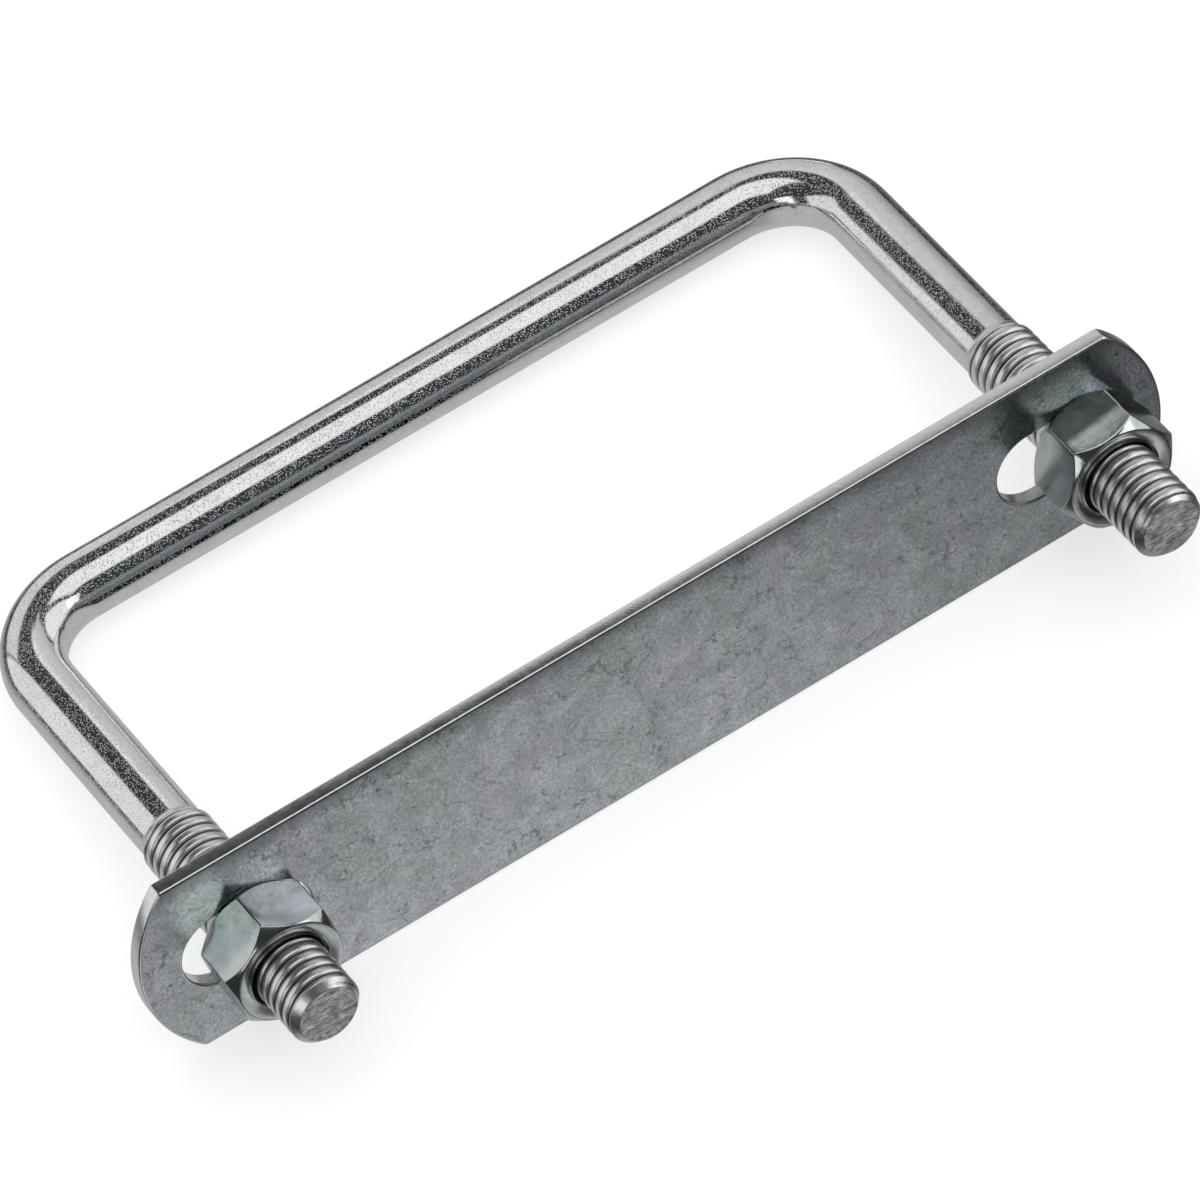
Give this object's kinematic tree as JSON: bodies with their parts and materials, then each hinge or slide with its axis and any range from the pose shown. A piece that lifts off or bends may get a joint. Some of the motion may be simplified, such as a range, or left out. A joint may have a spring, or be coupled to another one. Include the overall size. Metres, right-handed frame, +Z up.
{
  "type": "square u-bolt with backing plate",
  "caption": "Square-bend U-bolt with threaded ends, a slotted flat backing plate and hex nuts; clamps round or square stock or serves as a pad eye.",
  "frame": {"origin": "bottom centre of the bounding box, on the surface the part lies on", "axes": "+X along the plate and crossbar, +Y from the nuts towards the crossbar, +Z up from the surface the part lies on"},
  "size_m": [0.1432, 0.084, 0.0272],
  "materials": {
    "bright_zinc_rod": "bright zinc plating with fine speckle",
    "dull_zinc_plate": "satin zinc plating, blue-green passivate tint",
    "satin_zinc_nut": "satin zinc plating"
  },
  "bodies": {
    "u_bolt": {"u_bolt": "bright_zinc_rod"},
    "backing_plate": {"backing_plate": "dull_zinc_plate"},
    "left_nut": {"left_nut": "satin_zinc_nut"},
    "right_nut": {"right_nut": "satin_zinc_nut"}
  },
  "joints": [
    {"name": "plate_slide", "type": "slide", "parent": "u_bolt", "child": "backing_plate", "axis": [0, 0.9883, -0.1527], "range_m": [-0.00833, 0.01746]},
    {"name": "left_nut_spin", "type": "hinge", "parent": "backing_plate", "child": "left_nut", "pos_m": [-0.0562, -0.02068, 0.01324], "axis": [0, 0.9883, -0.1527], "range_deg": [-1890, 3960]},
    {"name": "right_nut_spin", "type": "hinge", "parent": "backing_plate", "child": "right_nut", "pos_m": [0.0606, -0.02068, 0.01324], "axis": [0, 0.9883, -0.1527], "range_deg": [-1890, 3960]}
  ],
  "couplings": [
    {"joint": "left_nut_spin", "follows": "plate_slide", "rad_per_m": 3957.9},
    {"joint": "right_nut_spin", "follows": "plate_slide", "rad_per_m": 3957.9}
  ]
}
